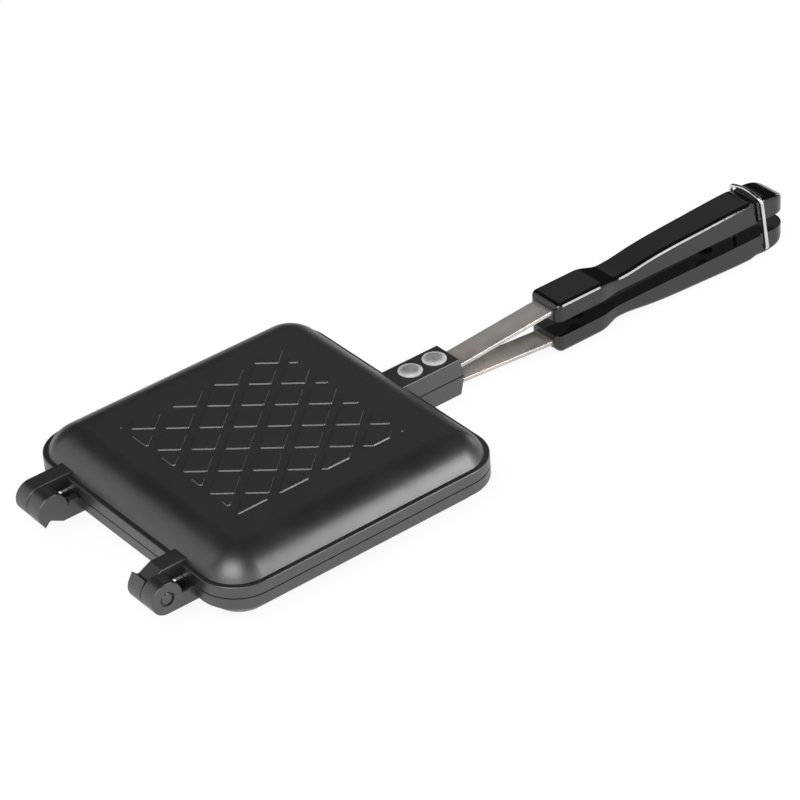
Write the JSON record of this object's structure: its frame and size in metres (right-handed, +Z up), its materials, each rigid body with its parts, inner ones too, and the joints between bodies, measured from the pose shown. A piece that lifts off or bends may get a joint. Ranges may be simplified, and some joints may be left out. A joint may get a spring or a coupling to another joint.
{
  "type": "pie iron",
  "caption": "Hinged square pie iron: two coated cast plates with raised diamond pads, riveted steel straps, moulded grips and a wire bail latch.",
  "frame": {"origin": "below the middle of the whole object's length and width, at the height of the lower plate's pads, on which it stands", "axes": "+Y from the hinge to the grips, +Z up through the closed plates, +X along the hinge axis"},
  "size_m": [0.145, 0.388, 0.0352],
  "materials": {
    "coated_casting": "satin",
    "strap_steel": "satin",
    "rivet_aluminium": "satin",
    "grip_phenolic": "gloss",
    "screw_steel": "satin",
    "pin_steel": "satin",
    "bail_wire": "polished"
  },
  "bodies": {
    "lower_half": {"lower_plate": "coated_casting", "lower_hinge_pin": "pin_steel", "lower_strap": "strap_steel", "lower_rivet_front": "rivet_aluminium", "lower_rivet_rear": "rivet_aluminium", "lower_grip": "grip_phenolic", "lower_grip_screw_front": "screw_steel", "lower_grip_screw_rear": "screw_steel"},
    "upper_half": {"upper_plate": "coated_casting", "upper_hinge_pin": "pin_steel", "upper_strap": "strap_steel", "upper_rivet_front": "rivet_aluminium", "upper_rivet_rear": "rivet_aluminium", "upper_grip": "grip_phenolic", "upper_grip_screw_front": "screw_steel", "upper_grip_screw_rear": "screw_steel"},
    "bail": {"latch_bail": "bail_wire"}
  },
  "joints": [
    {"name": "plate_hinge", "type": "hinge", "parent": "lower_half", "child": "upper_half", "pos_m": [0, -0.1866, 0.0168], "axis": [1, 0, 0], "range_deg": [0, 180]},
    {"name": "bail_swing", "type": "hinge", "parent": "lower_half", "child": "bail", "pos_m": [0, 0.1792, 0.0058], "axis": [-1, 0, 0], "range_deg": [0, 255]}
  ]
}
